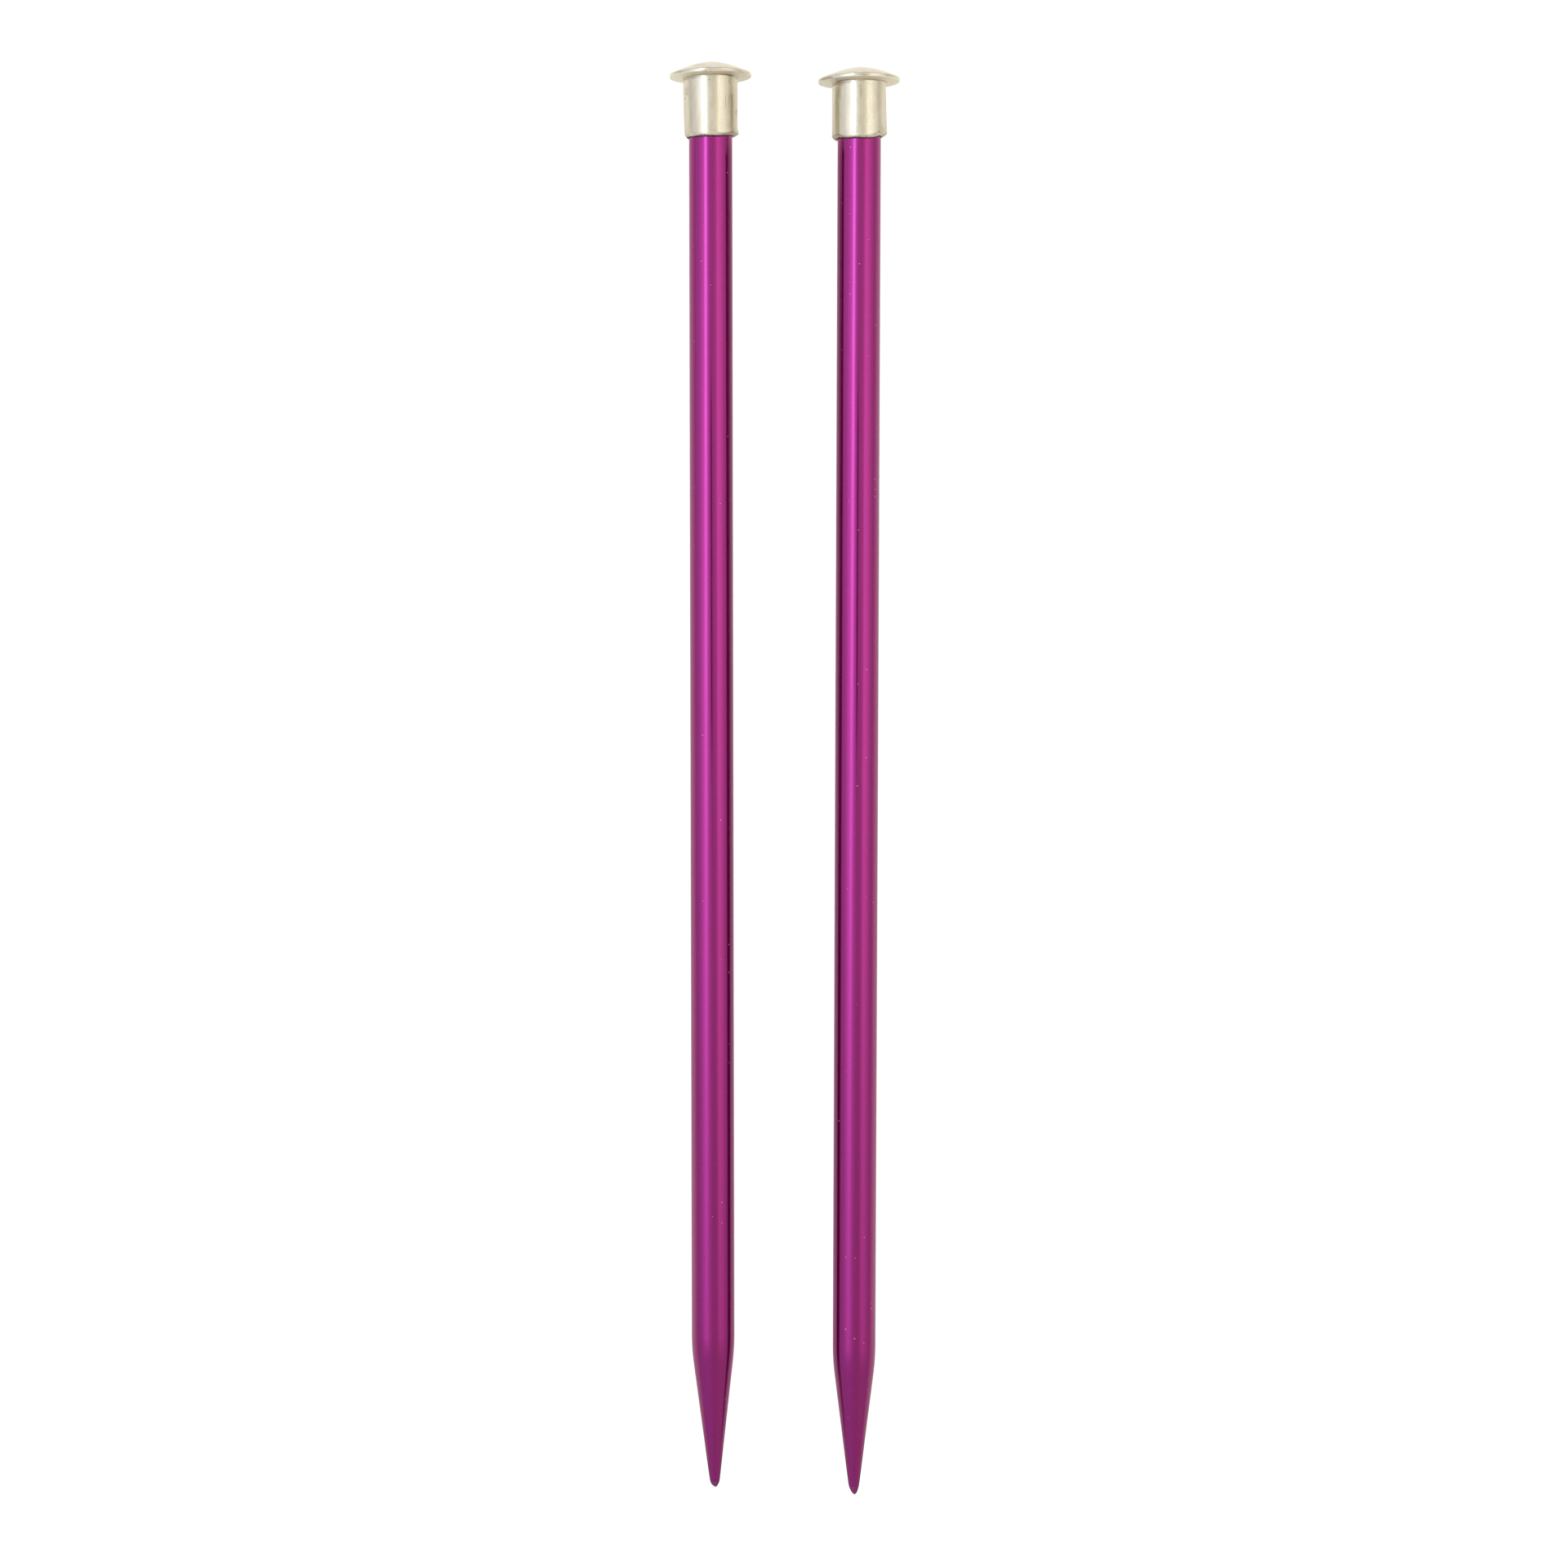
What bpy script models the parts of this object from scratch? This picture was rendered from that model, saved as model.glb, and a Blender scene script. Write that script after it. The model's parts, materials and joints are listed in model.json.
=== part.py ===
"""A pair of straight knitting needles, laid side by side on a table.

Metres, +Z up. Each needle lies along Y with its cap towards +Y. It rests on the rim of its cap's flange and on
the knuckle where its point begins, so its axis rises a little towards the cap. The origin is on the table, at the
middle of the pair. Outlines are given as (radius, height), with height 0 at the rim of the flange and the crown
of the cap above it.
"""

import math

import bpy
from mathutils import Vector

# Shaft: a drawn tube with a tapered, closed point.
SHAFT_R = 0.0045
TUBE_WALL = 0.0010
RIM_TO_TIP = 0.2959
POINT_LENGTH = 0.0292
POINT_HALF_ANGLE = math.radians(6.9)
KNUCKLE_R = 0.030
TIP_ROUND_LENGTH = 0.0024
SOLID_TIP = 0.0100
END_CHAMFER = 0.0002

# Cap: a domed flange on a barrel, with a blind socket for the open end of the tube.
FLANGE_R = 0.0085
CROWN_FLAT_R = 0.0020
CROWN_RISE = 0.0025
DOME_START_SLOPE = 0.23
RIM_TOP = 0.00028
RIM_ROUND_R = 0.00025
FLANGE_UNDER = 0.00050
NECK_FILLET_R = 0.0004
BARREL_TOP_R = 0.00560
BARREL_MOUTH_R = 0.00555
CAP_DEPTH = 0.0130
LIP_R = 0.00070
SOCKET_GAP = 0.0003
SOCKET_TOP = 0.0016

# How the pair lies: the spacing and the stagger are those of the two rims.
AXIS_SPACING = 0.0309
STAGGER = 0.0010
LEFT_YAW = math.radians(0.065)
RIGHT_YAW = math.radians(-0.19)

STEPS = 48
MERGE = 0.00001

TIP_Z = -RIM_TO_TIP
KNUCKLE_Z = TIP_Z + POINT_LENGTH
MOUTH_Z = -CAP_DEPTH
SOCKET_TOP_Z = -SOCKET_TOP
SOCKET_R = SHAFT_R + SOCKET_GAP
SHAFT_TOP_Z = SOCKET_TOP_Z - SOCKET_GAP
TUBE_BORE_R = SHAFT_R - TUBE_WALL

# The lowest full ring of the rim and the last full ring of the shaft touch the table.
RIM_RING_Z = RIM_ROUND_R - FLANGE_UNDER
SHAFT_RING_Z = KNUCKLE_Z + KNUCKLE_R * math.tan(POINT_HALF_ANGLE / 2)
REST_TILT = math.atan((FLANGE_R - SHAFT_R) / (RIM_RING_Z - SHAFT_RING_Z))
RIM_MIDDLE_HEIGHT = FLANGE_R * math.cos(REST_TILT) - RIM_RING_Z * math.sin(REST_TILT)


def clear_scene():
    for item in list(bpy.data.objects):
        bpy.data.objects.remove(item, do_unlink=True)


def new_collection(name):
    collection = bpy.data.collections.new(name)
    bpy.context.scene.collection.children.link(collection)
    return collection


def principled(name, colour, metallic, roughness):
    material = bpy.data.materials.new(name)
    material.use_nodes = True
    shader = material.node_tree.nodes["Principled BSDF"]
    shader.inputs["Base Color"].default_value = (*colour, 1.0)
    shader.inputs["Metallic"].default_value = metallic
    shader.inputs["Roughness"].default_value = roughness
    material.diffuse_color = (*colour, 1.0)
    return material


def anodised_aluminium():
    return principled("magenta_anodised_aluminium", (0.46, 0.035, 0.24), 1.0, 0.28)


def bright_nickel():
    return principled("bright_nickel_plate", (0.80, 0.74, 0.60), 1.0, 0.16)


def rounded_corner(before, corner, after, radius, count):
    """The arc of the given radius that joins the lines before-corner and corner-after, both ends included."""
    corner = Vector(corner)
    to_before = (Vector(before) - corner).normalized()
    to_after = (Vector(after) - corner).normalized()
    half_angle = to_before.angle(to_after) / 2
    middle = corner + (to_before + to_after).normalized() * radius / math.sin(half_angle)
    reach = radius / math.tan(half_angle)
    first = corner + to_before * reach - middle
    last = corner + to_after * reach - middle
    return [tuple(middle + first.slerp(last, i / (count - 1)) * radius) for i in range(count)]


def dome(count):
    """From the edge of the crown's flat out to the rim, steeper as it goes."""
    span = FLANGE_R - CROWN_FLAT_R
    drop = CROWN_RISE - RIM_TOP
    curve = (drop - DOME_START_SLOPE * span) / span**2
    steps = [span * i / count for i in range(count)]
    return [(CROWN_FLAT_R + s, CROWN_RISE - DOME_START_SLOPE * s - curve * s * s) for s in steps]


def cap_outline():
    rim_top = (FLANGE_R, RIM_TOP)
    rim_bottom = (FLANGE_R, -FLANGE_UNDER)
    neck = (BARREL_TOP_R, -FLANGE_UNDER)
    mouth = (BARREL_MOUTH_R, MOUTH_Z)
    slope = dome(6)
    outline = [(0.0, CROWN_RISE)]
    outline += slope
    outline += rounded_corner(slope[-1], rim_top, rim_bottom, RIM_ROUND_R, 4)
    outline += rounded_corner(rim_top, rim_bottom, neck, RIM_ROUND_R, 4)
    outline += rounded_corner(rim_bottom, neck, mouth, NECK_FILLET_R, 4)
    outline += rounded_corner(neck, mouth, (0.0, MOUTH_Z), LIP_R, 6)
    outline += [(SOCKET_R, MOUTH_Z), (SOCKET_R, SOCKET_TOP_Z), (0.0, SOCKET_TOP_Z)]
    return outline


def tip(count):
    """The cone's last stretch, drawn in to a blunt round end on the axis."""
    taper = math.tan(POINT_HALF_ANGLE)
    start_r = SHAFT_R - taper * (POINT_LENGTH - TIP_ROUND_LENGTH)
    points = []
    for i in range(count):
        down = TIP_ROUND_LENGTH * math.sin(math.pi / 2 * i / count)
        radius = (start_r - taper * down) * math.sqrt(1 - (down / TIP_ROUND_LENGTH) ** 2)
        points.append((radius, TIP_Z + TIP_ROUND_LENGTH - down))
    points.append((0.0, TIP_Z))
    return points


def shaft_outline():
    end = (SHAFT_R, SHAFT_TOP_Z)
    knuckle = (SHAFT_R, KNUCKLE_Z)
    bore_end = (0.0, TIP_Z + SOLID_TIP)
    point = tip(6)
    outline = [bore_end, (TUBE_BORE_R, KNUCKLE_Z), (TUBE_BORE_R, SHAFT_TOP_Z)]
    outline += [(SHAFT_R - END_CHAMFER, SHAFT_TOP_Z), (SHAFT_R, SHAFT_TOP_Z - END_CHAMFER)]
    outline += rounded_corner(end, knuckle, point[0], KNUCKLE_R, 4)
    outline += point
    return outline


def outline_mesh(name, outline, material):
    mesh = bpy.data.meshes.new(name)
    points = [(radius, 0.0, height) for radius, height in outline]
    mesh.from_pydata(points, [(i, i + 1) for i in range(len(points) - 1)], [])
    mesh.materials.append(material)
    return mesh


def turned(name, mesh, needle, collection):
    """The outline turned once round the needle's axis."""
    piece = bpy.data.objects.new(name, mesh)
    piece.parent = needle
    collection.objects.link(piece)
    screw = piece.modifiers.new("turn", "SCREW")
    screw.axis = "Z"
    screw.angle = math.tau
    screw.steps = STEPS
    screw.render_steps = STEPS
    screw.use_merge_vertices = True
    screw.merge_threshold = MERGE
    screw.use_smooth_shade = True
    return piece


def needle_empty(name, x, y, yaw, collection):
    """An empty at the middle of the rim, with its +Z along the needle towards the crown."""
    empty = bpy.data.objects.new(name, None)
    empty.location = (x, y, RIM_MIDDLE_HEIGHT)
    empty.rotation_euler = (REST_TILT - math.pi / 2, 0.0, yaw)
    empty.empty_display_size = FLANGE_R
    collection.objects.link(empty)
    return empty


def build():
    clear_scene()
    collection = new_collection("straight_knitting_needles")
    shaft_mesh = outline_mesh("shaft_outline", shaft_outline(), anodised_aluminium())
    cap_mesh = outline_mesh("cap_outline", cap_outline(), bright_nickel())
    rim_y = (RIM_TO_TIP - CROWN_RISE) * math.cos(REST_TILT) / 2
    places = (
        ("left", -AXIS_SPACING / 2, rim_y + STAGGER / 2, LEFT_YAW),
        ("right", AXIS_SPACING / 2, rim_y - STAGGER / 2, RIGHT_YAW),
    )
    for side, x, y, yaw in places:
        needle = needle_empty(side + "_needle", x, y, yaw, collection)
        turned(side + "_shaft", shaft_mesh, needle, collection)
        turned(side + "_cap", cap_mesh, needle, collection)


build()
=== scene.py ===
"""The looks of a pair of straight knitting needles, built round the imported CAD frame.

Metres, +Z up. Each needle has its own frame: origin at the middle of its cap's rim, +Z along the needle
towards the crown, +X to the right and +Y down towards the table. Outlines are given as (radius, height) in
that frame. Angles round a needle are measured from straight up, positive to the right as seen from above
with the crown at the top.
"""

import json
import math

import bpy
from mathutils import Matrix, Vector, noise


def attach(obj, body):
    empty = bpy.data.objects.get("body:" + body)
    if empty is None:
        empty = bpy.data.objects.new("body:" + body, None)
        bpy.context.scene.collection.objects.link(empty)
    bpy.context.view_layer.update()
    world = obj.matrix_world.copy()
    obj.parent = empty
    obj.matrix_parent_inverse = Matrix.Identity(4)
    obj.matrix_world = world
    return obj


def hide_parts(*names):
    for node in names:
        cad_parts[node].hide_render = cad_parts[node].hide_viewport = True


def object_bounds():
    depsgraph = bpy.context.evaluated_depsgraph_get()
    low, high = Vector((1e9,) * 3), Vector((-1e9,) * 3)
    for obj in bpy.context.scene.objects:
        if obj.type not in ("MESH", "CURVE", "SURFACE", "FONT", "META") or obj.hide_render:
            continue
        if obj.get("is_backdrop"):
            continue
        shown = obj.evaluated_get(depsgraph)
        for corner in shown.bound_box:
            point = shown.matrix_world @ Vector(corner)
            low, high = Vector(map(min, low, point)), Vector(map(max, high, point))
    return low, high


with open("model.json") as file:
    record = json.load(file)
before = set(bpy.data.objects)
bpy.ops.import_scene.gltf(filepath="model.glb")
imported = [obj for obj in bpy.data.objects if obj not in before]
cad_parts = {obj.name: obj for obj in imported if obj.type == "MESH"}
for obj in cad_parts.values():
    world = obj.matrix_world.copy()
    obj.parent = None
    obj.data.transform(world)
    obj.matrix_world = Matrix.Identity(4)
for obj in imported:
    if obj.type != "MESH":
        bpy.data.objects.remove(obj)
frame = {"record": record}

CAD_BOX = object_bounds()

# Driving sizes, the same as the CAD part's.
SHAFT_R = 0.0045
CROWN_RISE = 0.0025
SHAFT_TOP = -0.0019
SHAFT_TOP_CHAMFER = 0.0002
BARREL_R = 0.0056
SOCKET_TOP = -0.0016
RIM_R = 0.0085
RIM_SOFTNESS = 0.00025

# Finer shape than the CAD part's: the small gap at the mouth with its chamfer and its even first stretch,
# and a softer knuckle where the point begins.
MOUTH_GAP = 0.00008
MOUTH_CHAMFER = 0.00012
MOUTH_STRETCH = 0.0020
KNUCKLE_R = 0.050

# How many straight steps make up one turn of a piece.
SEGMENTS = 192

# The camera looks down from beyond the middle of the needles.
CAMERA_HEIGHT = 0.700
CAMERA_X = -0.0002
CAMERA_Y = 0.0197
CAMERA_PITCH = math.radians(-1.61)
CAMERA_LENS = 76.14
SENSOR = 36.0


# ---------------------------------------------------------------- needle frames


def needle_matrix(mount):
    """A needle's frame, from the mount on its crown."""
    axis = Vector(mount["axis"]).normalized()
    crown = Vector(mount["pos_m"])
    right = axis.cross(Vector((0, 0, 1))).normalized()
    down = axis.cross(right)
    origin = crown - axis * CROWN_RISE
    matrix = Matrix((right, down, axis)).transposed().to_4x4()
    matrix.translation = origin
    return matrix


def needle_matrices():
    mounts = {mount["name"]: mount for mount in frame["record"]["mounts"]}
    return {side: needle_matrix(mounts[side + "_crown"]) for side in ("left", "right")}


# ---------------------------------------------------------------- outlines


def arc_corner(before, corner, after, radius, count):
    """The arc of that radius joining the lines before-corner and corner-after, both ends included."""
    corner = Vector(corner)
    to_before = (Vector(before) - corner).normalized()
    to_after = (Vector(after) - corner).normalized()
    half_angle = to_before.angle(to_after) / 2
    middle = corner + (to_before + to_after).normalized() * radius / math.sin(half_angle)
    reach = radius / math.tan(half_angle)
    first = corner + to_before * reach - middle
    last = corner + to_after * reach - middle
    return [tuple(middle + first.slerp(last, i / (count - 1)) * radius) for i in range(count)]


def straight(start, end, count):
    """Points on the way from start to end, both left out."""
    start, end = Vector(start), Vector(end)
    return [tuple(start.lerp(end, (i + 1) / (count + 1))) for i in range(count)]


def dome(shape, count):
    """From the edge of the crown's flat out to the rim, steeper as it goes."""
    rise, flat_r, start_slope = shape["crown_rise"], shape["crown_flat_r"], shape["crown_slope"]
    span = RIM_R - flat_r
    drop = rise - shape["rim_top"]
    curve = (drop - start_slope * span) / span**2
    steps = [span * i / count for i in range(count)]
    return [(flat_r + s, rise - start_slope * s - curve * s * s) for s in steps]


def cap_outline(shape):
    """Down the outside from the crown's middle, round the lip and up into the socket."""
    rim_top = (RIM_R, shape["rim_top"])
    rim_bottom = (RIM_R, -shape["under"])
    neck = (shape["barrel_top_r"], -shape["under"])
    mouth = (shape["barrel_mouth_r"], -shape["depth"])
    socket_r = SHAFT_R + MOUTH_GAP
    slope = dome(shape, 20)
    outline = [(0.0, shape["crown_rise"]), (shape["crown_flat_r"] / 2, shape["crown_rise"])]
    outline += slope
    outline += arc_corner(slope[-1], rim_top, rim_bottom, RIM_SOFTNESS, 9)
    outline += arc_corner(rim_top, rim_bottom, neck, RIM_SOFTNESS, 9)
    under = outline[-1]
    fillet = arc_corner(rim_bottom, neck, mouth, shape["neck_fillet"], 9)
    outline += straight(under, fillet[0], 8)
    outline += fillet
    lip = arc_corner(neck, mouth, (0.0, mouth[1]), shape["lip"], 11)
    outline += straight(fillet[-1], lip[0], 44)
    outline += lip
    outline += [(socket_r + MOUTH_CHAMFER, mouth[1]), (socket_r, mouth[1] + MOUTH_CHAMFER)]
    outline += [(socket_r, mouth[1] + MOUTH_STRETCH), (socket_r, SOCKET_TOP), (0.0, SOCKET_TOP)]
    return outline


def tip(shape, count):
    """The cone's last stretch, drawn in to a blunt round end on the axis."""
    taper = math.tan(shape["cone_half_angle"])
    length = shape["round_length"]
    start_r = SHAFT_R - taper * (shape["point_length"] - length)
    points = []
    for i in range(count):
        down = length * math.sin(math.pi / 2 * i / count)
        closing = math.sqrt(1 - (down / length) ** 2)
        points.append(((start_r - taper * down) * closing, length - shape["tip"] - down))
    points.append((0.0, -shape["tip"]))
    return points


def shaft_outline(shape):
    """Down the outside from the closed end inside the cap to the point."""
    end = (SHAFT_R, SHAFT_TOP)
    knuckle = (SHAFT_R, shape["point_length"] - shape["tip"])
    point = tip(shape, 16)
    bend = arc_corner(end, knuckle, point[0], KNUCKLE_R, 9)
    chamfer = SHAFT_TOP_CHAMFER
    outline = [(0.0, SHAFT_TOP), (SHAFT_R - chamfer, SHAFT_TOP), (SHAFT_R, SHAFT_TOP - chamfer)]
    outline += straight(outline[-1], bend[0], 60)
    outline += bend
    outline += straight(bend[-1], point[0], 24)
    outline += point
    return outline


# ---------------------------------------------------------------- how each piece differs from a turned one


def ring_point(radius, angle, height):
    """A point in a needle's frame. The angle runs from straight up, positive to the right."""
    return Vector((radius * math.sin(angle), -radius * math.cos(angle), height))


def smooth(value, low, high):
    """0 up to low, 1 from high on, and a smooth rise between them."""
    t = min(1.0, max(0.0, (value - low) / (high - low)))
    return t * t * (3 - 2 * t)


def read_off(table, height):
    """The value at a height, from (height, value) pairs that run downwards, straight between them."""
    if height >= table[0][0]:
        return table[0][1]
    for (upper, above), (lower, below) in zip(table, table[1:]):
        if height >= lower:
            return below + (above - below) * (height - lower) / (upper - lower)
    return table[-1][1]


# Where a cap departs from a turned one. Its walls swell outside the socket and below the flange. The
# flange's tilt fades out down the barrel, and its shift acts on the edge. Wear reaches up from the lip,
# and is deepest at the two sides. The lip's waves are (how many, how deep).
WALL_FROM_R = (0.0047, 0.0052)
WALL_BELOW_RIM = (0.0007, 0.0012)
FLANGE_TILTS_OVER = (-0.0040, -0.0006)
FLANGE_SHIFTS_OVER_R = (0.0060, 0.0080)
WEAR_REACH = 0.0026
WEAR_AT_SIDES = (0.35, 1.0)
LIP_WAVES = ((3.1, 0.00009), (9.0, 0.00004))


def cap_bend(shape):
    """A cast cap: the flange sits askew, the barrel's sides aren't quite straight, and the lip is worn."""
    seed = Vector((0, 0, shape["seed"]))

    def wall_swell(side, radius, height):
        left = max(0.0, -side) ** 2 * read_off(shape["left_wall"], height)
        right = max(0.0, side) ** 2 * read_off(shape["right_wall"], height)
        return (left + right) * smooth(radius, *WALL_FROM_R) * smooth(-height, *WALL_BELOW_RIM)

    def lip_wear(side, angle, height):
        place = Vector((math.cos(angle), math.sin(angle), 0.0))
        worn = shape["cut_left"] * smooth(-side, *WEAR_AT_SIDES)
        worn += shape["cut_right"] * smooth(side, *WEAR_AT_SIDES)
        worn += sum(noise.noise(place * waves + seed) * depth for waves, depth in LIP_WAVES)
        return worn * smooth(-height, shape["depth"] - WEAR_REACH, shape["depth"])

    def bend(radius, angle, height):
        side = math.sin(angle)
        point = ring_point(radius + wall_swell(side, radius, height), angle, height)
        flange = smooth(height, *FLANGE_TILTS_OVER)
        point.z += flange * shape["flange_tilt"] * point.x
        point.x += flange * smooth(radius, *FLANGE_SHIFTS_OVER_R) * shape["flange_shift"]
        point.z += lip_wear(side, angle, height)
        return point

    return bend


# The power by which a point's lean grows towards its end.
LEAN_GROWTH = 1.3


def shaft_bend(shape):
    """A drawn-in point that leans a little to one side, with its very end ground off askew."""
    knuckle = shape["point_length"] - shape["tip"]
    round_end = shape["round_length"] - shape["tip"]

    def bend(radius, angle, height):
        point = ring_point(radius, angle, height)
        down = max(0.0, knuckle - height) / shape["point_length"]
        point.x += shape["point_lean"] * down**LEAN_GROWTH
        end = max(0.0, round_end - height) / shape["round_length"]
        point.x += shape["end_shift"] * end**2
        if height < round_end:
            ground = shape["ground_slope"] * (shape["ground_from"] - point.x) - shape["tip"]
            point.z = max(point.z, ground)
        return point

    return bend


# ---------------------------------------------------------------- meshes


def turned(name, outline, matrix, bend, material):
    """The outline turned round the needle's axis. bend(radius, angle, height) gives each point's place."""
    vertices = []
    rings = []
    for radius, height in outline:
        on_axis = radius < 1e-7
        count = 1 if on_axis else SEGMENTS
        rings.append((len(vertices), count))
        for i in range(count):
            vertices.append(bend(radius, math.tau * i / SEGMENTS - math.pi, height))
    faces = []
    for (first, count), (second, next_count) in zip(rings, rings[1:]):
        for i in range(SEGMENTS):
            j = (i + 1) % SEGMENTS
            if count == 1:
                faces.append((first, second + j, second + i))
            elif next_count == 1:
                faces.append((first + i, first + j, second))
            else:
                faces.append((first + i, first + j, second + j, second + i))
    mesh = bpy.data.meshes.new(name)
    mesh.from_pydata([tuple(vertex) for vertex in vertices], [], faces)
    mesh.validate()
    mesh.shade_smooth()
    mesh.materials.append(material)
    piece = bpy.data.objects.new(name, mesh)
    piece.matrix_world = matrix
    bpy.context.scene.collection.objects.link(piece)
    return piece


# ---------------------------------------------------------------- node helpers


class Nodes:
    """A short way to write a node tree. Each call adds one node and gives its first output."""

    def __init__(self, tree):
        self.tree = tree

    def add(self, kind, **settings):
        node = self.tree.nodes.new(kind)
        for name, value in settings.items():
            setattr(node, name, value)
        return node

    def put(self, socket, value):
        if isinstance(value, bpy.types.NodeSocket):
            self.tree.links.new(value, socket)
        else:
            socket.default_value = value

    def math(self, operation, first, second=0.0, third=0.0, clamp=False):
        node = self.add("ShaderNodeMath", operation=operation, use_clamp=clamp)
        for socket, value in zip(node.inputs, (first, second, third)):
            self.put(socket, value)
        return node.outputs[0]

    def split(self, vector):
        node = self.add("ShaderNodeSeparateXYZ")
        self.put(node.inputs[0], vector)
        return node.outputs

    def vector(self, operation, first, second=(0, 0, 0)):
        node = self.add("ShaderNodeVectorMath", operation=operation)
        self.put(node.inputs[0], first)
        self.put(node.inputs[1], second)
        return node.outputs["Value" if operation in ("DISTANCE", "LENGTH") else "Vector"]

    def between(self, value, low, high, to_low=0.0, to_high=1.0):
        node = self.add("ShaderNodeMapRange", interpolation_type="SMOOTHSTEP")
        for socket, item in zip(node.inputs, (value, low, high, to_low, to_high)):
            self.put(socket, item)
        return node.outputs[0]

    def fades(self, value, low, high):
        """1 up to low, and 0 from high on."""
        return self.between(value, low, high, 1.0, 0.0)

    def product(self, first, *others):
        for other in others:
            first = self.math("MULTIPLY", first, other)
        return first

    def mix(self, factor, first, second):
        node = self.add("ShaderNodeMix", data_type="RGBA")
        self.put(node.inputs["Factor"], factor)
        self.put(node.inputs["A"], (*first, 1.0) if isinstance(first, tuple) else first)
        self.put(node.inputs["B"], (*second, 1.0) if isinstance(second, tuple) else second)
        return node.outputs["Result"]

    def noise(self, vector, scale, detail=2.0, roughness=0.5):
        node = self.add("ShaderNodeTexNoise")
        self.put(node.inputs["Vector"], vector)
        self.put(node.inputs["Scale"], scale)
        self.put(node.inputs["Detail"], detail)
        self.put(node.inputs["Roughness"], roughness)
        return node.outputs["Fac"]

    def bump(self, height, distance, normal=None):
        node = self.add("ShaderNodeBump")
        node.inputs["Strength"].default_value = 1.0
        node.inputs["Distance"].default_value = distance
        self.put(node.inputs["Height"], height)
        if normal is not None:
            self.put(node.inputs["Normal"], normal)
        return node.outputs["Normal"]


def new_material(name):
    material = bpy.data.materials.new(name)
    material.use_nodes = True
    shader = material.node_tree.nodes["Principled BSDF"]
    return material, shader, Nodes(material.node_tree)


def object_position(nodes):
    return nodes.add("ShaderNodeTexCoord").outputs["Object"]


def joined_position(nodes, x, y):
    joined = nodes.add("ShaderNodeCombineXYZ")
    nodes.put(joined.inputs[0], x)
    nodes.put(joined.inputs[1], y)
    return joined.outputs[0]


def skin_position(nodes, position, radius):
    """A position on the unrolled surface of a round piece: round it, along it, 0."""
    x, y, z = nodes.split(position)
    angle = nodes.math("ARCTAN2", x, nodes.math("MULTIPLY", y, -1.0))
    return joined_position(nodes, nodes.math("MULTIPLY", angle, radius), z)


def specks(nodes, skin, spacing, radius, share):
    """A mask of small round specks on a skin, of uneven size: one to a cell, in that share of the cells."""
    cells = nodes.add("ShaderNodeTexVoronoi", feature="F1", voronoi_dimensions="2D")
    nodes.put(cells.inputs["Vector"], skin)
    nodes.put(cells.inputs["Scale"], 1 / spacing)
    lottery = nodes.add("ShaderNodeSeparateColor")
    nodes.put(lottery.inputs[0], cells.outputs["Color"])
    size = nodes.math("MULTIPLY_ADD", lottery.outputs[1], radius / spacing, radius / spacing / 2)
    inside = nodes.math("LESS_THAN", cells.outputs["Distance"], size)
    chosen = nodes.math("LESS_THAN", lottery.outputs[0], share)
    return nodes.math("MULTIPLY", inside, chosen)


def marks(nodes, position, ragged, places):
    """A mask of chosen marks on the upper side, each an oval with a ragged edge. Places are in mm."""
    x, y, z = nodes.split(position)
    upper = nodes.math("LESS_THAN", y, 0.002)
    edge = nodes.math("MULTIPLY_ADD", ragged, 1.2, -0.6)
    total = 0.0
    for across, height, half_width, half_height, strength in places:
        away = nodes.vector("SUBTRACT", position, (across / 1000, 0, height / 1000))
        away = nodes.vector("MULTIPLY", away, (1000 / half_width, 0, 1000 / half_height))
        distance = nodes.math("ADD", nodes.vector("LENGTH", away), edge)
        total = nodes.math("MAXIMUM", total, nodes.between(distance, 0.5, 1.3, strength, 0.0))
    return nodes.math("MULTIPLY", total, upper)


# ---------------------------------------------------------------- materials


MAGENTA = (0.258, 0.0034, 0.154)
PALER_MAGENTA = (0.298, 0.0046, 0.178)
# Dark magenta for worn nicks, and for painted shade on the point's very end.
DARK_MAGENTA_WEAR_AND_SHADE = (0.030, 0.004, 0.016)
# Painted shade: the dark line on the shaft just below each cap's lip.
LIP_SHADE_MAGENTA = (0.030, 0.002, 0.012)
DUST = (0.60, 0.36, 0.52)

NICKEL = (0.635, 0.600, 0.505)
TARNISHED_NICKEL = (0.585, 0.530, 0.410)
GRAINY_NICKEL = (0.50, 0.45, 0.35)
# Painted light: the flange's underside is painted paler, as if lit.
UNDERSIDE_LIGHT_NICKEL = (0.84, 0.80, 0.70)
BROWN_TARNISH = (0.36, 0.27, 0.14)
# Dark spots, and painted shadow in the mouths' corners.
DARK_SPOT_AND_SHADE = (0.07, 0.05, 0.035)


def shade_at_point_end(nodes, y, height, ragged, shape):
    """A mask of painted shade on the point's very end, darker still round its sides and underside."""
    from_end = nodes.math("ADD", height, shape["tip"])
    from_end = nodes.math("MULTIPLY_ADD", ragged, 0.0004, from_end)
    end = nodes.between(from_end, 0.0010, 0.0022, 0.55, 0.0)
    edge = nodes.between(from_end, 0.0016, 0.0026, 0.9, 0.0)
    edge = nodes.math("MULTIPLY", nodes.between(y, -0.0007, -0.0004), edge)
    return nodes.math("MAXIMUM", end, edge)


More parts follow.
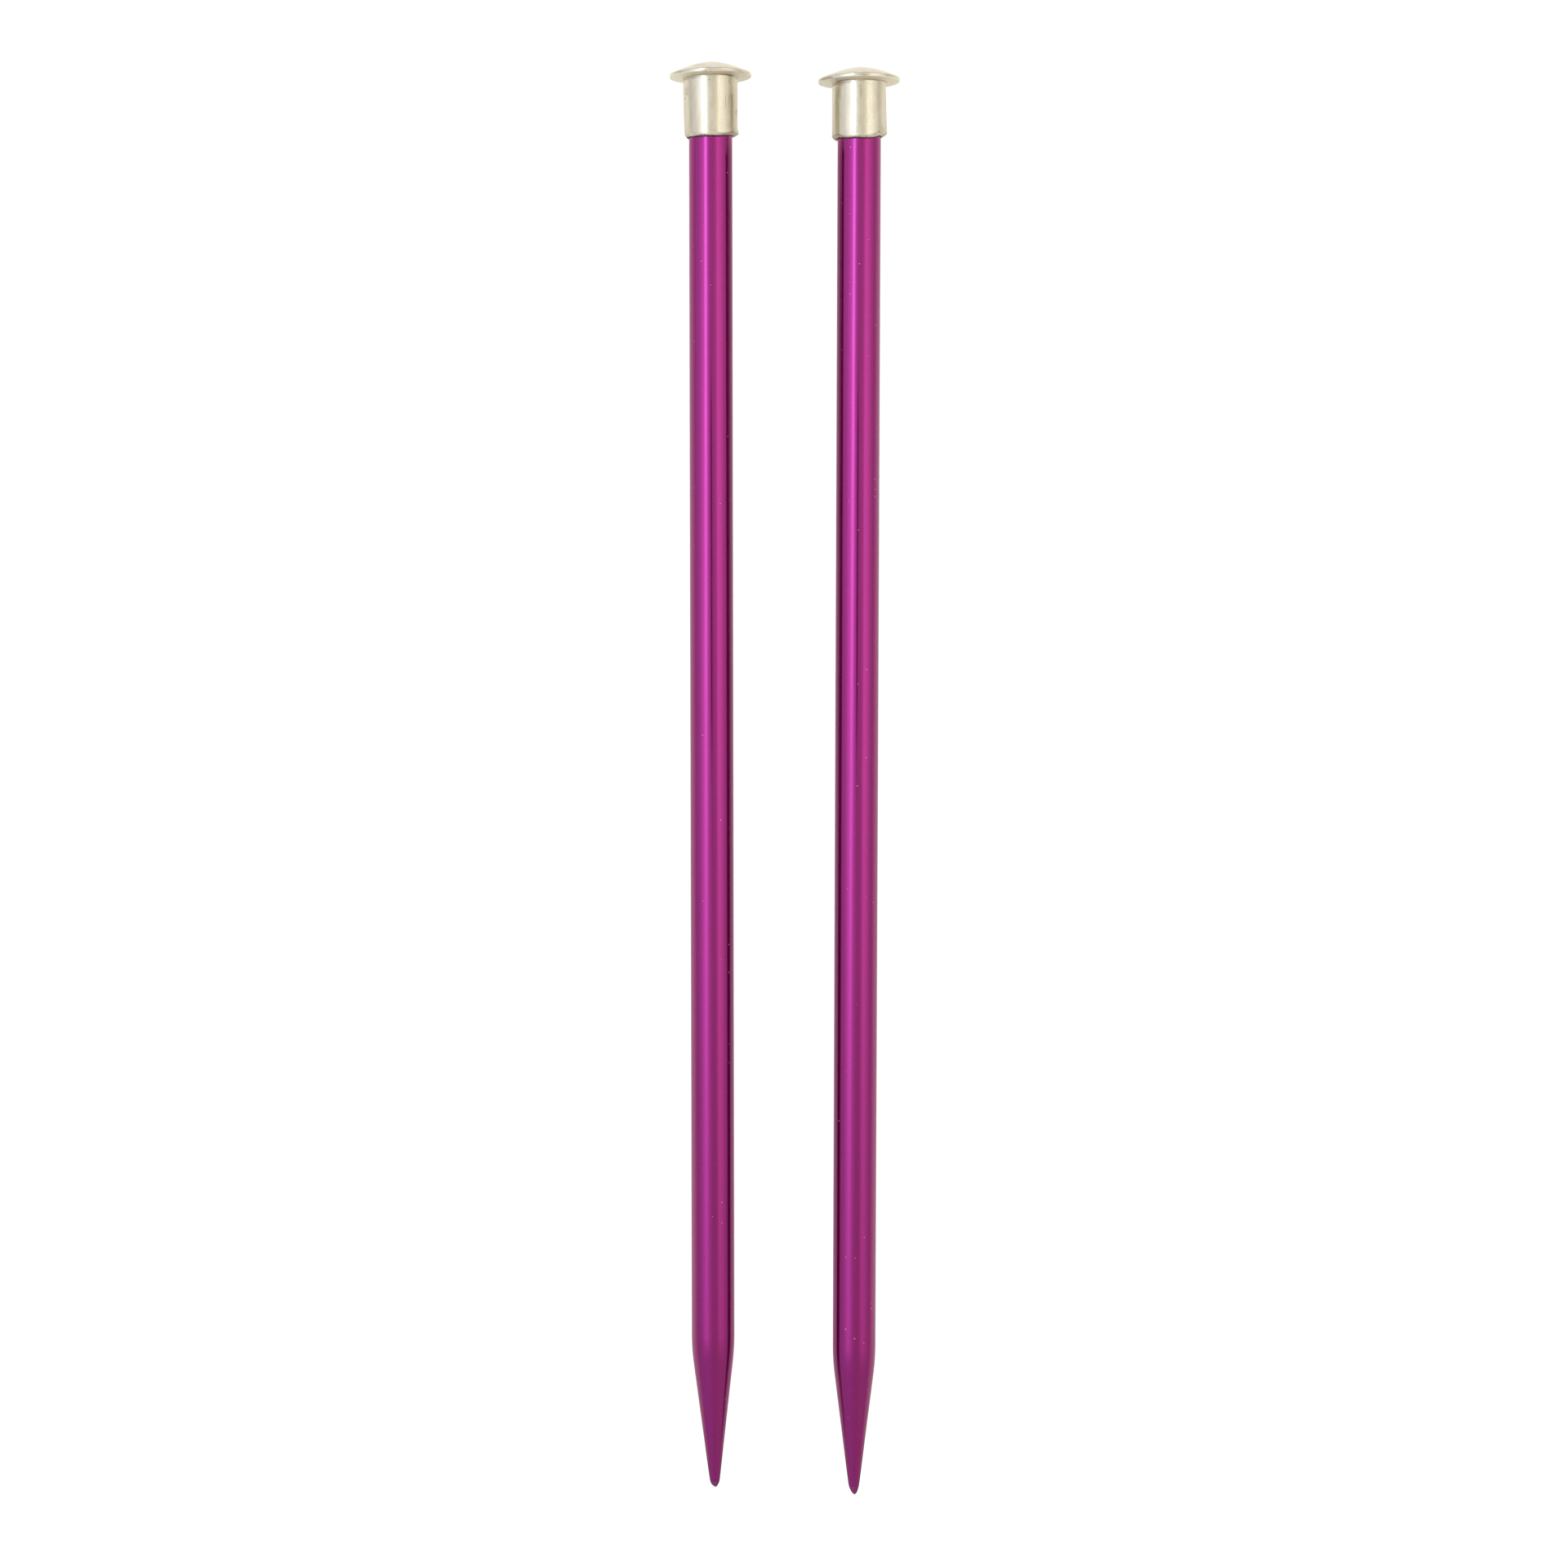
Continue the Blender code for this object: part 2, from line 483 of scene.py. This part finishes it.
def shade_below_lip(nodes, x, height, ragged, shape):
    """A mask of painted shade on the shaft along its cap's worn lip: a dark line where the lip shades the
    shaft.
    """
    side = nodes.math("DIVIDE", x, SHAFT_R)
    low, high = WEAR_AT_SIDES
    worn = nodes.between(side, low, high, 0.0, shape["cut_right"])
    worn = nodes.math("ADD", worn, nodes.between(side, -high, -low, shape["cut_left"], 0.0))
    below_lip = nodes.math("SUBTRACT", nodes.math("SUBTRACT", height, worn), -shape["depth"])
    below_lip = nodes.math("MULTIPLY_ADD", ragged, 0.00016, below_lip)
    return nodes.between(below_lip, -0.00022, -0.00006, 0.0, 0.85)


def anodised_aluminium(name, shape):
    """Drawn aluminium under a clear, dyed oxide film: fine lines along the shaft, a little dust, worn
    nicks, painted shade where the shaft enters its cap, and painted shade on the point's very end."""
    material, shader, nodes = new_material(name)
    position = object_position(nodes)
    x, y, height = nodes.split(position)
    lines = nodes.noise(nodes.vector("MULTIPLY", position, (1, 1, 0.02)), 5000, 3.0, 0.6)
    bands = nodes.noise(nodes.vector("MULTIPLY", position, (1, 1, 0.08)), 420, 2.0)
    grains = nodes.noise(position, 6000, 2.0)
    shifted_skin = nodes.vector("ADD", skin_position(nodes, position, SHAFT_R), (shape["seed"], 0, 0))
    dust = specks(nodes, shifted_skin, 0.0020, 0.00008, 0.045)
    tone = nodes.math("MULTIPLY_ADD", lines, 0.5, nodes.math("MULTIPLY", bands, 0.5))
    colour = nodes.mix(tone, MAGENTA, PALER_MAGENTA)
    # Painted shade on the shaft below the cap's lip.
    colour = nodes.mix(shade_below_lip(nodes, x, height, grains, shape), colour, LIP_SHADE_MAGENTA)
    # Painted shade on the point's very end.
    colour = nodes.mix(shade_at_point_end(nodes, y, height, grains, shape), colour, DARK_MAGENTA_WEAR_AND_SHADE)
    colour = nodes.mix(marks(nodes, position, grains, shape["nicks"]), colour, DARK_MAGENTA_WEAR_AND_SHADE)
    nodes.put(shader.inputs["Base Color"], nodes.mix(dust, colour, DUST))
    nodes.put(shader.inputs["Metallic"], nodes.math("MULTIPLY_ADD", dust, -0.8, 1.0))
    gloss = nodes.between(bands, 0.3, 0.7, 0.15, 0.20)
    nodes.put(shader.inputs["Roughness"], nodes.math("MULTIPLY_ADD", dust, 0.5, gloss))
    shader.inputs["Specular Tint"].default_value = (0.75, 0.30, 0.60, 1.0)
    shader.inputs["Coat Weight"].default_value = 1.0
    shader.inputs["Coat IOR"].default_value = 1.38
    shader.inputs["Coat Roughness"].default_value = 0.09
    relief = nodes.bump(bands, 0.000006)
    relief = nodes.bump(lines, 0.000003, relief)
    relief = nodes.bump(grains, 0.000005, relief)
    nodes.put(shader.inputs["Normal"], nodes.bump(dust, 0.00003, relief))
    return material


def mould_mark(nodes, position, ragged, place):
    """Rings round one spot on the barrel: a raised band, and a thin line with dirt in it in places."""
    angle, height = place
    middle = ring_point(BARREL_R, math.radians(angle), height / 1000)
    distance = nodes.vector("DISTANCE", position, tuple(middle))
    inner = nodes.between(distance, 0.00052, 0.00060)
    outer = nodes.fades(distance, 0.00072, 0.00080)
    raised = nodes.math("MULTIPLY", inner, outer)
    from_line = nodes.math("ABSOLUTE", nodes.math("SUBTRACT", distance, 0.00074))
    near = nodes.fades(from_line, 0.00003, 0.00009)
    dot = nodes.between(distance, 0.00010, 0.00020, 0.6, 0.0)
    dirty = nodes.math("MULTIPLY", near, nodes.between(ragged, 0.45, 0.60))
    return raised, nodes.math("MAXIMUM", dirty, dot)


def cap_recesses(nodes, position, ragged, shape):
    """Masks of the flange's underside, which is rougher and painted paler as painted light, of the matt
    lip, and of dirt in the corner under the flange.
    """
    x, y, z = nodes.split(position)
    across = nodes.vector("LENGTH", joined_position(nodes, x, y))
    height = nodes.math("MULTIPLY_ADD", x, -shape["flange_tilt"], z)
    barrel_r = shape["barrel_top_r"]
    dull_and_lit_underside = nodes.between(across, barrel_r + 0.00010, barrel_r + 0.00035)
    dull_and_lit_underside = nodes.math("MULTIPLY", dull_and_lit_underside, nodes.fades(height, -0.00036, -0.00020))
    lip = nodes.between(z, 0.0010 - shape["depth"], 0.0002 - shape["depth"], 0.0, 0.8)
    corner = (barrel_r + 0.0001, -0.00064, 0)
    from_corner = nodes.vector("DISTANCE", joined_position(nodes, across, height), corner)
    dirt = nodes.fades(from_corner, 0.00006, 0.00022)
    dirt = nodes.math("MULTIPLY", dirt, nodes.between(ragged, 0.30, 0.62, 0.45, 1.0))
    return dull_and_lit_underside, lip, dirt


def bright_nickel(name, side):
    """Bright nickel plate on a cast cap: a ripple, grain, tarnish, pits, nicks, dirt and a mould mark, with
    painted light on the flange's underside and painted shadow in the mouth's corners.
    """
    material, shader, nodes = new_material(name)
    position = object_position(nodes)
    shifted = nodes.vector("ADD", position, (SHAPES[side]["seed"], 0, 0))
    ripple = nodes.noise(shifted, 320, 2.0)
    tarnish = nodes.noise(nodes.vector("MULTIPLY", shifted, (1, 1, 0.35)), 520, 3.0, 0.6)
    grain = nodes.noise(shifted, 3200, 3.0, 0.6)
    ragged = nodes.noise(shifted, 2600, 2.0)
    pits = specks(nodes, skin_position(nodes, position, BARREL_R), 0.0013, 0.00005, 0.16)
    raised, dirty_ring = mould_mark(nodes, position, ragged, MOULD_MARKS[side])
    dull_and_lit_underside, lip, dirt = cap_recesses(nodes, position, ragged, SHAPES[side])
    brown = nodes.math("MAXIMUM", marks(nodes, position, tarnish, BROWN_MARKS[side]), dirt)
    spots_and_shade = nodes.math("MAXIMUM", nodes.math("MULTIPLY", pits, 0.6), dirty_ring)
    # The dark marks include painted shadow in the mouth's corners.
    spots_and_shade = nodes.math("MAXIMUM", marks(nodes, position, ragged, DARK_MARKS[side]), spots_and_shade)

    colour = nodes.mix(nodes.between(tarnish, 0.35, 0.68), NICKEL, TARNISHED_NICKEL)
    colour = nodes.mix(nodes.between(grain, 0.40, 0.80, 0.0, 0.35), colour, GRAINY_NICKEL)
    # Painted light on the flange's underside; the same mask also makes it rougher.
    colour = nodes.mix(nodes.math("MULTIPLY", dull_and_lit_underside, 0.8), colour, UNDERSIDE_LIGHT_NICKEL)
    colour = nodes.mix(brown, colour, BROWN_TARNISH)
    nodes.put(shader.inputs["Base Color"], nodes.mix(spots_and_shade, colour, DARK_SPOT_AND_SHADE))
    shader.inputs["Metallic"].default_value = 0.86
    rough = nodes.math("MULTIPLY_ADD", spots_and_shade, 0.4, nodes.between(grain, 0.3, 0.7, 0.15, 0.22))
    rough = nodes.math("MULTIPLY_ADD", nodes.math("MAXIMUM", dull_and_lit_underside, lip), 0.32, rough)
    nodes.put(shader.inputs["Roughness"], nodes.math("MULTIPLY_ADD", brown, 0.15, rough))
    relief = nodes.bump(ripple, 0.000022)
    relief = nodes.bump(grain, 0.0000016, relief)
    relief = nodes.bump(raised, 0.000025, relief)
    nodes.put(shader.inputs["Normal"], nodes.bump(nodes.math("MULTIPLY", spots_and_shade, -1.0), 0.00002, relief))
    return material


# ---------------------------------------------------------------- studio

# The room: cool on the left, warm on the right, and dimmer and a little pink beyond the caps, which is what
# the shafts reflect when they are seen end-on.
COOL = (1.00, 1.00, 1.06)
WARM = (1.00, 0.95, 0.86)
SKY_AT_CAPS = 0.98
SKY_AT_POINTS = 0.72
WALL_BEYOND_POINTS = 1.15
DIM_BEYOND_CAPS = 0.50
LOW_BEYOND_CAPS = (1.00, 0.62, 0.88)

# Soft lights overhead: where each is, as angles in degrees from straight up, how far it fades out, and how
# bright. "across" runs left to right over the needles, and "along" from the points towards the caps. "lean"
# is how many degrees a light shifts across for each degree along.
SOFT_LIGHTS = (
    {"across": -35, "along": -1.5, "lean": 0.0, "fade_across": 23, "fade_along": 14.5, "level": 1.05,
     "colour": (1.00, 1.00, 1.08)},
    {"across": -28, "along": 12, "lean": 0.35, "fade_across": 7, "fade_along": 14, "level": 2.15,
     "colour": (1.03, 1.80, 1.58)},
    {"across": 48, "along": 1, "lean": 0.0, "fade_across": 20, "fade_along": 16, "level": 0.82,
     "colour": (1.00, 0.98, 0.94)},
    {"across": 37, "along": 2, "lean": 0.0, "fade_across": 7, "fade_along": 15, "level": 0.42,
     "colour": (1.00, 0.98, 0.92)},
)


def soft_light(nodes, across, along, light):
    """One light's colour in a direction, fading smoothly away from its middle."""
    middle = nodes.math("MULTIPLY_ADD", along, light["lean"], math.radians(light["across"]))
    sideways = nodes.math("SUBTRACT", across, middle)
    lengthwise = nodes.math("SUBTRACT", along, math.radians(light["along"]))
    sideways = nodes.math("DIVIDE", sideways, math.radians(light["fade_across"]))
    lengthwise = nodes.math("DIVIDE", lengthwise, math.radians(light["fade_along"]))
    squares = nodes.math("MULTIPLY_ADD", sideways, sideways, nodes.math("MULTIPLY", lengthwise, lengthwise))
    level = nodes.math("EXPONENT", nodes.math("MULTIPLY", squares, -1.0))
    colour = tuple(channel * light["level"] for channel in light["colour"])
    return nodes.mix(level, (0, 0, 0), colour)


def build_world():
    """A pale room, cooler on the left and warmer on the right, with soft lights overhead."""
    world = bpy.data.worlds.new("studio")
    world.use_nodes = True
    nodes = Nodes(world.node_tree)
    direction = nodes.add("ShaderNodeTexCoord").outputs["Generated"]
    x, y, z = nodes.split(direction)
    across = nodes.math("ARCTAN2", x, z)
    along = nodes.math("ARCSINE", y)
    tone = nodes.mix(nodes.between(x, -0.5, 0.3), COOL, WARM)
    low_beyond = nodes.product(nodes.between(y, 0.88, 0.97), nodes.fades(z, 0.25, 0.40))
    tone = nodes.mix(low_beyond, tone, LOW_BEYOND_CAPS)
    level = nodes.between(y, -0.25, 0.12, SKY_AT_POINTS, SKY_AT_CAPS)
    level = nodes.math("MULTIPLY", level, nodes.between(z, 0.0, 0.14, 0.72, 1.0))
    level = nodes.math("MULTIPLY", level, nodes.between(y, 0.72, 0.96, 1.0, DIM_BEYOND_CAPS))
    level = nodes.math("MAXIMUM", level, nodes.between(y, -0.72, -0.56, WALL_BEYOND_POINTS, 0.0))
    sky = nodes.vector("SCALE", tone)
    nodes.put(sky.node.inputs["Scale"], level)
    for light in SOFT_LIGHTS:
        sky = nodes.vector("ADD", sky, soft_light(nodes, across, along, light))
    nodes.put(world.node_tree.nodes["Background"].inputs["Color"], sky)
    bpy.context.scene.world = world


FLOOR_HALF = 8.0
WALL_HEIGHT = 8.0
TABLE_SEEN = (0.35, 0.35, 0.35)
TABLE_SEEN_GLOW = 0.85

# The table that the metal reflects: its colours, with painted shadow against the shafts and by the points,
# and how brightly and in what tone it glows.
TABLE = (0.78, 0.75, 0.69)
TABLE_BESIDE_SHAFTS = (0.75, 0.85, 0.66)
TABLE_SHADOW_AGAINST_SHAFTS = (0.30, 0.26, 0.27)
TABLE_SHADOW_BY_POINTS = (0.10, 0.08, 0.09)
GLOW_OUTSIDE = 0.26
GLOW_BY_CAPS = 0.34
GLOW_BY_SHAFTS = (0.98, 1.03, 0.88)
GLOW_ROUND_CAPS = (1.00, 0.98, 0.93)


def matt(name):
    """A matt material with nothing but its colour and its glow to set."""
    material, shader, nodes = new_material(name)
    shader.inputs["Roughness"].default_value = 0.9
    shader.inputs["Specular IOR Level"].default_value = 0.0
    return material, shader, nodes


def table_seen():
    material, shader, _ = matt("table_white")
    shader.inputs["Base Color"].default_value = (*TABLE_SEEN, 1)
    shader.inputs["Emission Color"].default_value = (1, 1, 1, 1)
    shader.inputs["Emission Strength"].default_value = TABLE_SEEN_GLOW
    return material


def table_glow(nodes, aside, y):
    """Brighter outside the pair, except by the points, and brightest round and beyond the caps."""
    outside = nodes.product(nodes.between(aside, 0.021, 0.030), nodes.fades(aside, 0.030, 0.085))
    outside = nodes.product(outside, nodes.between(y, -0.145, -0.105, 0.25, 1.0), GLOW_OUTSIDE)
    by_caps = nodes.product(nodes.between(y, 0.132, 0.140), nodes.fades(y, 0.20, 0.28))
    by_caps = nodes.product(by_caps, nodes.fades(aside, 0.04, 0.09), GLOW_BY_CAPS)
    return nodes.math("MAXIMUM", outside, by_caps)


def table_colour(nodes, aside, y):
    """Painted shadow against the shafts' inner sides and by the points, and a little greener beside the
    shafts.
    """
    beside = nodes.product(nodes.between(aside, 0.016, 0.020), nodes.fades(y, 0.085, 0.125))
    beside = nodes.product(beside, nodes.fades(aside, 0.034, 0.064))
    against = nodes.product(nodes.between(aside, 0.0085, 0.0110), nodes.fades(y, 0.120, 0.132))
    against = nodes.product(against, nodes.fades(aside, 0.0155, 0.0170))
    from_point = nodes.vector("DISTANCE", joined_position(nodes, aside, y), (0.0156, -0.1485, 0))
    colour = nodes.mix(beside, TABLE, TABLE_BESIDE_SHAFTS)
    colour = nodes.mix(against, colour, TABLE_SHADOW_AGAINST_SHAFTS)
    return nodes.mix(nodes.fades(from_point, 0.003, 0.012), colour, TABLE_SHADOW_BY_POINTS)


def table_reflected():
    """The table as the metal reflects it."""
    material, shader, nodes = matt("reflected_white")
    x, y, z = nodes.split(object_position(nodes))
    aside = nodes.math("ABSOLUTE", x)
    tone = nodes.mix(nodes.between(y, 0.120, 0.132), GLOW_BY_SHAFTS, GLOW_ROUND_CAPS)
    nodes.put(shader.inputs["Base Color"], table_colour(nodes, aside, y))
    nodes.put(shader.inputs["Emission Color"], tone)
    nodes.put(shader.inputs["Emission Strength"], table_glow(nodes, aside, y))
    return material


def floor_plane(name, material, wall_height=0.0):
    """A square floor, with four far walls if they have a height."""
    half = FLOOR_HALF
    corners = [(-half, -half), (half, -half), (half, half), (-half, half)]
    vertices = [(x, y, 0) for x, y in corners]
    faces = [(0, 1, 2, 3)]
    if wall_height:
        vertices += [(x, y, wall_height) for x, y in corners]
        faces += [(i, (i + 1) % 4, (i + 1) % 4 + 4, i + 4) for i in range(4)]
    mesh = bpy.data.meshes.new(name)
    mesh.from_pydata(vertices, [], faces)
    mesh.materials.append(material)
    plane = bpy.data.objects.new(name, mesh)
    bpy.context.scene.collection.objects.link(plane)
    plane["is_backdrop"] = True
    return plane


def build_floor():
    """The table and far walls that the camera sees, with no shadows, and the table that metal reflects."""
    seen = floor_plane("floor", table_seen(), WALL_HEIGHT)
    seen.visible_glossy = False
    seen.visible_diffuse = False
    seen.visible_shadow = False
    reflected = floor_plane("floor_in_reflections", table_reflected())
    reflected.visible_camera = False
    reflected.visible_diffuse = False
    reflected.visible_shadow = False


CAMERA_BODY_HALF = (0.045, 0.075)
CAMERA_BODY_PLACE = (0.0, 0.05, 0.71)


def build_camera_body():
    """The camera's dark underside, which the shafts reflect as a thin line. Only reflections show it."""
    material, shader, _ = new_material("camera_black")
    shader.inputs["Base Color"].default_value = (0.02, 0.02, 0.02, 1)
    shader.inputs["Roughness"].default_value = 0.8
    x, y = CAMERA_BODY_HALF
    mesh = bpy.data.meshes.new("camera_body")
    mesh.from_pydata([(-x, -y, 0), (x, -y, 0), (x, y, 0), (-x, y, 0)], [], [(0, 1, 2, 3)])
    mesh.materials.append(material)
    body = bpy.data.objects.new("camera_body", mesh)
    body.location = CAMERA_BODY_PLACE
    body.visible_camera = False
    body.visible_diffuse = False
    body.visible_shadow = False
    bpy.context.scene.collection.objects.link(body)
    body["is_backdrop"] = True


# ---------------------------------------------------------------- needles


# Each needle's own shape. "under" is how far the flange's underside is below the rim's middle. The wall
# tables say how far the barrel's sides swell, as (height, swell) down the barrel. "cut_left" and
# "cut_right" are how far the lip is worn back at its sides. "nicks" are marks on the shaft, written as
# the caps' are.
SHAPES = {
    "left": {
        "seed": 1.0,
        "crown_rise": 0.00250,
        "crown_flat_r": 0.0025,
        "crown_slope": 0.25,
        "rim_top": 0.00028,
        "under": 0.00047,
        "flange_tilt": 0.020,
        "flange_shift": 0.0,
        "barrel_top_r": 0.00565,
        "barrel_mouth_r": 0.00560,
        "left_wall": (
            (-0.001, 0.00012), (-0.008, -0.00002), (-0.0115, -0.00015), (-0.0124, -0.00026),
            (-0.013, -0.0007),
        ),
        "right_wall": ((-0.0105, 0.0), (-0.0117, 0.00014), (-0.0125, 0.00024), (-0.013, -0.00045)),
        "neck_fillet": 0.00042,
        "depth": 0.0130,
        "cut_left": 0.0001,
        "cut_right": 0.00055,
        "lip": 0.00028,
        "tip": 0.2956,
        "point_length": 0.0296,
        "cone_half_angle": math.radians(7.0),
        "round_length": 0.0018,
        "point_lean": 0.00033,
        "end_shift": 0.0,
        "ground_slope": 0.75,
        "ground_from": 0.00050,
        "nicks": (
            (0.1, -284.5, 0.10, 0.20, 0.5), (-1.6, -246.0, 0.07, 0.5, 0.4), (2.2, -120.0, 0.05, 1.2, 0.35),
        ),
    },
    "right": {
        "seed": 7.0,
        "crown_rise": 0.00258,
        "crown_flat_r": 0.0016,
        "crown_slope": 0.19,
        "rim_top": 0.00025,
        "under": 0.00050,
        "flange_tilt": 0.024,
        "flange_shift": -0.00010,
        "barrel_top_r": 0.00560,
        "barrel_mouth_r": 0.00560,
        "left_wall": ((-0.001, 0.00012), (-0.0119, 0.00010), (-0.0124, -0.00025)),
        "right_wall": (
            (-0.001, -0.00008), (-0.006, 0.00002), (-0.0112, 0.00020), (-0.0117, 0.00012),
            (-0.0124, -0.0007),
        ),
        "neck_fillet": 0.00042,
        "depth": 0.0124,
        "cut_left": 0.00030,
        "cut_right": 0.00075,
        "lip": 0.00028,
        "tip": 0.29615,
        "point_length": 0.02875,
        "cone_half_angle": math.radians(7.2),
        "round_length": 0.0024,
        "point_lean": 0.00007,
        "end_shift": 0.00018,
        "ground_slope": 0.5,
        "ground_from": -0.0004,
        "nicks": (
            (0.28, -294.9, 0.07, 0.45, 0.8), (-1.2, -262.0, 0.06, 0.4, 0.4), (1.9, -90.0, 0.05, 1.0, 0.35),
        ),
    },
}

# Marks on upper sides: across, height, half width, half height (all in mm), and how strong.
DARK_MARKS = {
    "left": (
        (-0.68, -0.36, 0.12, 0.10, 0.8), (0.17, -0.34, 0.11, 0.10, 0.8), (0.85, -0.30, 0.07, 0.07, 0.5),
        (4.00, -0.60, 0.60, 0.12, 0.6), (-0.10, -1.77, 0.16, 0.07, 0.8), (-4.83, -4.28, 0.10, 0.09, 0.7),
        (-5.16, -5.10, 0.10, 0.09, 0.7), (1.07, -12.05, 0.10, 0.20, 0.8), (-1.78, -12.85, 0.09, 0.12, 0.9),
        (-1.20, -12.88, 0.10, 0.12, 0.9), (4.49, -12.60, 0.10, 0.12, 0.8), (5.70, -12.40, 0.15, 0.12, 0.6),
        # (-4.80, -12.95) is painted shadow in the mouth's left corner, between the lip and the shaft.
        (-4.80, -12.95, 0.45, 0.16, 0.95), (3.20, -5.65, 0.03, 1.60, 0.55),
        (-2.70, -2.60, 0.035, 0.8, 0.35),
    ),
    "right": (
        (0.0, -1.96, 0.15, 0.07, 0.85), (0.50, -0.94, 0.10, 0.06, 0.7), (-6.10, -0.47, 0.60, 0.07, 0.85),
        # (-4.23, -12.28) is painted shadow in the mouth's left corner, between the lip and the shaft.
        (-4.40, -0.85, 0.25, 0.10, 0.7), (-4.23, -12.28, 0.32, 0.16, 0.9), (-0.09, -12.25, 0.13, 0.10, 0.9),
        (1.35, -12.25, 0.13, 0.10, 0.9), (-3.5, -12.2, 0.10, 0.08, 0.6), (-4.95, -6.0, 0.035, 2.6, 0.30),
    ),
}
BROWN_MARKS = {
    "left": (
        (-2.40, 1.20, 1.60, 0.35, 0.40), (-1.10, -0.30, 0.70, 0.22, 0.35), (-4.90, -3.70, 0.45, 0.9, 0.30),
        (3.0, -0.15, 1.2, 0.14, 0.45), (4.3, -1.6, 0.5, 1.0, 0.40), (2.6, -12.6, 1.6, 0.25, 0.30),
        (4.55, -6.2, 0.24, 5.8, 0.35),
    ),
    "right": (
        (-7.30, -0.40, 0.90, 0.20, 0.70), (0.8, -0.25, 1.0, 0.20, 0.45), (0.2, -3.2, 0.35, 1.3, 0.35),
        (0.6, -12.2, 1.5, 0.22, 0.45), (-4.85, -6.4, 0.25, 6.2, 0.40), (-3.9, -1.4, 0.7, 0.5, 0.35),
    ),
}
# The round mark that the mould left on each barrel: degrees from straight up, and height in mm.
MOULD_MARKS = {"left": (77.0, -8.05), "right": (50.0, -10.6)}


def build_needle(side, matrix, magenta, nickel):
    shape = SHAPES[side]
    shaft = turned(side + "_shaft_anodised", shaft_outline(shape), matrix, shaft_bend(shape), magenta)
    cap = turned(side + "_cap_plated", cap_outline(shape), matrix, cap_bend(shape), nickel)
    for piece, node, slot in ((shaft, "shaft", "anodised_shaft"), (cap, "cap", "plated_cap")):
        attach(piece, side + "_needle")
        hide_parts(f"{side}_{node}")


def build_camera():
    data = bpy.data.cameras.new("camera")
    data.lens = CAMERA_LENS
    data.sensor_width = SENSOR
    camera = bpy.data.objects.new("camera", data)
    camera.location = (CAMERA_X, CAMERA_Y, CAMERA_HEIGHT)
    camera.rotation_euler = (CAMERA_PITCH, 0.0, 0.0)
    bpy.context.scene.collection.objects.link(camera)
    bpy.context.scene.camera = camera


def write_sizes():
    boxes = {"cad": CAD_BOX, "visual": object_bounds()}
    {name: [list(lo), list(hi)] for name, (lo, hi) in boxes.items()}


MATRICES = needle_matrices()
bpy.context.scene.view_settings.view_transform = "Standard"
for side_name, side_matrix in MATRICES.items():
    magenta = anodised_aluminium(side_name + "_magenta_anodised", SHAPES[side_name])
    nickel = bright_nickel(side_name + "_bright_nickel", side_name)
    build_needle(side_name, side_matrix, magenta, nickel)
build_world()
build_floor()
build_camera_body()
build_camera()
write_sizes()
